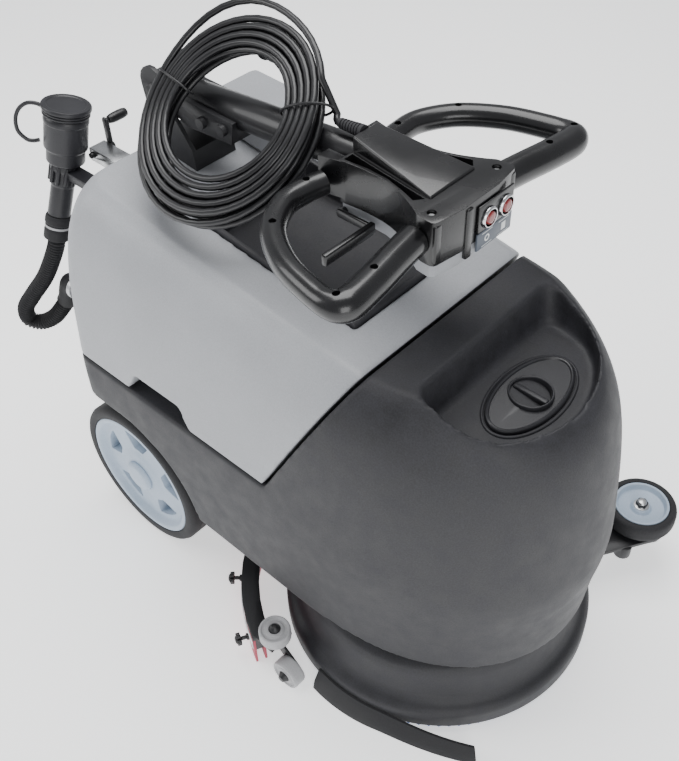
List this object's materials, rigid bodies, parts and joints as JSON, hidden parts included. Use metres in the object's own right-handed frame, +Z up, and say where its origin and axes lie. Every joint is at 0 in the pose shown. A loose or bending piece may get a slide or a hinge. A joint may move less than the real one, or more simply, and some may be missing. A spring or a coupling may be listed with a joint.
{
  "type": "floor scrubber",
  "caption": "Walk-behind electric floor scrubber: rounded two-tank body on two rear wheels, round brush deck, curved squeegee with rollers, folding handle with a coiled cord",
  "frame": {"origin": "middle of the footprint on the floor, cord left out", "axes": "+X towards the rounded nose, +Y to the machine's left, +Z up"},
  "size_m": [0.897, 0.6016, 0.8096],
  "materials": {
    "black_shell": "fine moulded texture",
    "grey_shell": "satin moulded",
    "black_gloss": "semi-gloss",
    "console_grey": "satin moulded",
    "rubber": "matt",
    "tyre": "matt",
    "red_rubber": "matt",
    "rim_blue": "satin moulded",
    "roller_grey": "satin moulded",
    "steel": "zinc plated",
    "black_steel": "black powder coat",
    "cord": "satin",
    "bristle": "cut filament ends",
    "button_red": "gloss",
    "panel": "printed plate without lettering"
  },
  "bodies": {
    "chassis": {"lower_body": "black_shell", "recovery_tank": "grey_shell", "tank_lid": "black_shell", "vacuum_cover": "grey_shell", "vacuum_motor": "black_steel", "chassis_plate": "black_steel", "rear_axle": "steel", "brush_deck": "black_shell", "brush_motor": "black_steel", "splash_strip": "rubber", "bumper_arm": "black_steel", "suction_hose": "rubber", "drain_spout": "black_shell", "drain_cuff": "rubber", "drain_hose": "rubber", "drain_elbow": "rubber", "hose_clamp": "steel", "crank_bracket": "steel", "handle_bracket": "black_steel"},
    "handle": {"handle_knuckle": "black_steel", "handle_post": "black_gloss", "console_body": "black_gloss", "console_base": "console_grey", "button_panel": "panel", "grip_loop_left": "black_gloss", "grip_loop_right": "black_gloss", "cord_gland": "rubber", "cord_lead": "cord", "cord_coil": "cord"},
    "wheel_left": {"tyre_left": "tyre", "rim_left": "rim_blue"},
    "wheel_right": {"tyre_right": "tyre", "rim_right": "rim_blue"},
    "brush": {"drive_flange": "steel", "brush_disc": "black_steel", "brush_bristles": "bristle"},
    "squeegee": {"squeegee_arm": "black_steel", "squeegee_frame": "black_steel", "blade_front": "red_rubber", "blade_rear": "red_rubber", "blade_band": "steel"},
    "wall_roller_left": {"wall_roller_left": "roller_grey"},
    "wall_roller_right": {"wall_roller_right": "roller_grey"},
    "floor_roller_left": {"floor_roller_left": "roller_grey"},
    "floor_roller_right": {"floor_roller_right": "roller_grey"},
    "bumper_wheel": {"bumper_hub": "rim_blue", "bumper_tyre": "rubber"},
    "crank": {"crank_arm": "black_steel"},
    "crank_knob": {"crank_knob": "rubber"},
    "fill_cap": {"fill_cap": "black_shell"},
    "drain_cap": {"drain_cap": "black_shell"},
    "lever_left": {"lever_left": "black_gloss"},
    "lever_right": {"lever_right": "black_gloss"},
    "button_start": {"button_start": "button_red"},
    "button_stop": {"button_stop": "button_red"},
    "knob_left_1": {"knob_left_1": "rubber"},
    "knob_left_2": {"knob_left_2": "rubber"},
    "knob_right_1": {"knob_right_1": "rubber"},
    "knob_right_2": {"knob_right_2": "rubber"}
  },
  "joints": [
    {"name": "handle_fold", "type": "hinge", "parent": "chassis", "child": "handle", "pos_m": [-0.24152, -0.01972, 0.7], "axis": [0, -1, 0], "range_deg": [0, 130]},
    {"name": "wheel_left_roll", "type": "hinge", "parent": "chassis", "child": "wheel_left", "pos_m": [-0.21152, 0.16668, 0.125], "axis": [0, 1, 0], "continuous": true},
    {"name": "wheel_right_roll", "type": "hinge", "parent": "chassis", "child": "wheel_right", "pos_m": [-0.21152, -0.20612, 0.125], "axis": [0, 1, 0], "continuous": true},
    {"name": "brush_spin", "type": "hinge", "parent": "chassis", "child": "brush", "pos_m": [0.21749, -0.01972, 0.06], "axis": [0, 0, 1], "continuous": true},
    {"name": "squeegee_lift", "type": "hinge", "parent": "chassis", "child": "squeegee", "pos_m": [-0.14552, -0.01972, 0.112], "axis": [0, -1, 0], "range_deg": [0, 5]},
    {"name": "wall_roller_left_turn", "type": "hinge", "parent": "squeegee", "child": "wall_roller_left", "pos_m": [0.11948, 0.22278, 0.0738], "axis": [0, 0, 1], "continuous": true},
    {"name": "floor_roller_left_roll", "type": "hinge", "parent": "squeegee", "child": "floor_roller_left", "pos_m": [0.15449, 0.23428, 0.0235], "axis": [0, 1, 0], "continuous": true},
    {"name": "wall_roller_right_turn", "type": "hinge", "parent": "squeegee", "child": "wall_roller_right", "pos_m": [0.11948, -0.26222, 0.0738], "axis": [0, 0, 1], "continuous": true},
    {"name": "floor_roller_right_roll", "type": "hinge", "parent": "squeegee", "child": "floor_roller_right", "pos_m": [0.15449, -0.27372, 0.0235], "axis": [0, 1, 0], "continuous": true},
    {"name": "bumper_wheel_turn", "type": "hinge", "parent": "chassis", "child": "bumper_wheel", "pos_m": [0.39548, 0.24778, 0.0978], "axis": [0, 0, 1], "continuous": true},
    {"name": "crank_turn", "type": "hinge", "parent": "chassis", "child": "crank", "pos_m": [-0.34552, -0.08372, 0.585], "axis": [0, -1, 0], "range_deg": [0, 90]},
    {"name": "crank_knob_turn", "type": "hinge", "parent": "crank", "child": "crank_knob", "pos_m": [-0.34552, -0.01772, 0.623], "axis": [0, 1, 0], "continuous": true},
    {"name": "fill_cap_lift", "type": "slide", "parent": "chassis", "child": "fill_cap", "axis": [0, 0, 1], "range_m": [0, 0.05]},
    {"name": "drain_cap_lift", "type": "slide", "parent": "chassis", "child": "drain_cap", "axis": [0.073, 0.2189, 0.973], "range_m": [0, 0.03]},
    {"name": "lever_left_squeeze", "type": "hinge", "parent": "handle", "child": "lever_left", "pos_m": [0.08848, 0.01778, 0.666], "axis": [0, -1, 0], "range_deg": [0, 12], "stiffness_Nm_per_rad": 2},
    {"name": "lever_right_squeeze", "type": "hinge", "parent": "handle", "child": "lever_right", "pos_m": [0.08848, -0.05722, 0.666], "axis": [0, -1, 0], "range_deg": [0, 12], "stiffness_Nm_per_rad": 2},
    {"name": "button_start_press", "type": "slide", "parent": "handle", "child": "button_start", "axis": [-1, 0, 0], "range_m": [0, 0.003], "stiffness_N_per_m": 400},
    {"name": "button_stop_press", "type": "slide", "parent": "handle", "child": "button_stop", "axis": [-1, 0, 0], "range_m": [0, 0.003], "stiffness_N_per_m": 400},
    {"name": "knob_right_1_turn", "type": "hinge", "parent": "squeegee", "child": "knob_right_1", "pos_m": [-0.00546, -0.22046, 0.042], "axis": [-0.7431, -0.6691, 0], "continuous": true},
    {"name": "knob_right_2_turn", "type": "hinge", "parent": "squeegee", "child": "knob_right_2", "pos_m": [0.07664, -0.28461, 0.042], "axis": [-0.4695, -0.8829, 0], "continuous": true},
    {"name": "knob_left_1_turn", "type": "hinge", "parent": "squeegee", "child": "knob_left_1", "pos_m": [-0.00546, 0.18102, 0.042], "axis": [-0.7431, 0.6691, 0], "continuous": true},
    {"name": "knob_left_2_turn", "type": "hinge", "parent": "squeegee", "child": "knob_left_2", "pos_m": [0.07664, 0.24516, 0.042], "axis": [-0.4695, 0.8829, 0], "continuous": true}
  ],
  "couplings": [
    {"joint": "crank_turn", "follows": "squeegee_lift", "ratio": 18}
  ]
}
